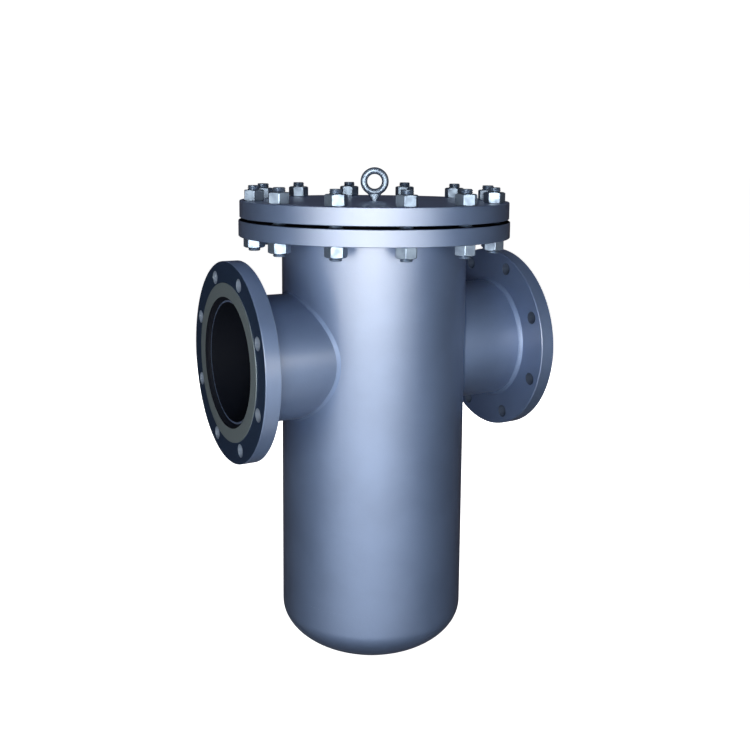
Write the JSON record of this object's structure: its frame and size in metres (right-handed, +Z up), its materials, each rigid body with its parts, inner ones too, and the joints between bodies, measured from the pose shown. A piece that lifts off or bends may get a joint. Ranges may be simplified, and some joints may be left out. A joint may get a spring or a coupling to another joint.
{
  "type": "basket strainer",
  "caption": "Flanged in-line basket strainer: welded pipe body with elliptical bottom, bolted cover with lifting eye, lift-out slanted basket and bottom drain plug.",
  "frame": {"origin": "centre of the inlet nozzle's raised face", "axes": "+X along the flow from the inlet to the outlet, +Z up along the body towards the cover, +Y to the left of the flow"},
  "size_m": [0.564, 0.485, 0.9104],
  "materials": {
    "blue_grey_paint": "semi-gloss, fine orange peel",
    "zinc_plated_steel": "bright zinc plating",
    "machined_steel": "turned, uncoated",
    "stainless_steel": "satin",
    "stainless_mesh": "woven wire",
    "gasket_sheet": "compressed fibre sheet, matt",
    "copper_washer": "soft copper"
  },
  "bodies": {
    "strainer_body": {"body_shell": "blue_grey_paint", "bottom_head": "blue_grey_paint", "body_flange": "blue_grey_paint", "body_flange_welds": "blue_grey_paint", "inlet_nozzle_pipe": "blue_grey_paint", "inlet_flange": "blue_grey_paint", "inlet_flange_welds": "blue_grey_paint", "inlet_saddle_weld": "blue_grey_paint", "outlet_nozzle_pipe": "blue_grey_paint", "outlet_flange": "blue_grey_paint", "outlet_flange_welds": "blue_grey_paint", "outlet_saddle_weld": "blue_grey_paint", "diverter_plate": "blue_grey_paint", "basket_seat_ring": "machined_steel", "cover_gasket": "gasket_sheet", "cover_studs": "zinc_plated_steel", "lower_nuts": "zinc_plated_steel", "drain_coupling": "blue_grey_paint", "drain_weld": "blue_grey_paint"},
    "cover": {"cover_flange": "blue_grey_paint", "lifting_eyebolt": "zinc_plated_steel"},
    "cover_nuts": {"upper_nuts": "zinc_plated_steel"},
    "basket": {"basket_rim": "stainless_steel", "basket_screen": "stainless_steel", "basket_mesh": "stainless_mesh", "basket_bottom": "stainless_steel", "basket_bottom_band": "stainless_steel", "basket_straps": "stainless_steel", "basket_handle": "stainless_steel"},
    "washer": {"drain_washer": "copper_washer"},
    "plug": {"drain_plug": "zinc_plated_steel"}
  },
  "joints": [
    {"name": "cover_lift", "type": "slide", "parent": "strainer_body", "child": "cover", "axis": [0, 0, 1], "range_m": [0, 0.75]},
    {"name": "nuts_off", "type": "slide", "parent": "strainer_body", "child": "cover_nuts", "axis": [0, 0, 1], "range_m": [0, 0.83]},
    {"name": "basket_lift", "type": "slide", "parent": "strainer_body", "child": "basket", "axis": [0, 0, 1], "range_m": [0, 0.65]},
    {"name": "drain_travel", "type": "slide", "parent": "strainer_body", "child": "washer", "axis": [0, 0, -1], "range_m": [0, 0.0165]},
    {"name": "drain_turn", "type": "hinge", "parent": "washer", "child": "plug", "pos_m": [0.282, 0, -0.57], "axis": [0, 0, -1], "range_deg": [0, 3240]}
  ],
  "couplings": [
    {"joint": "nuts_off", "follows": "cover_lift", "ratio": 1.1},
    {"joint": "basket_lift", "follows": "cover_lift", "ratio": 0.86},
    {"joint": "drain_travel", "follows": "drain_turn", "m_per_rad": 0.00028871}
  ]
}
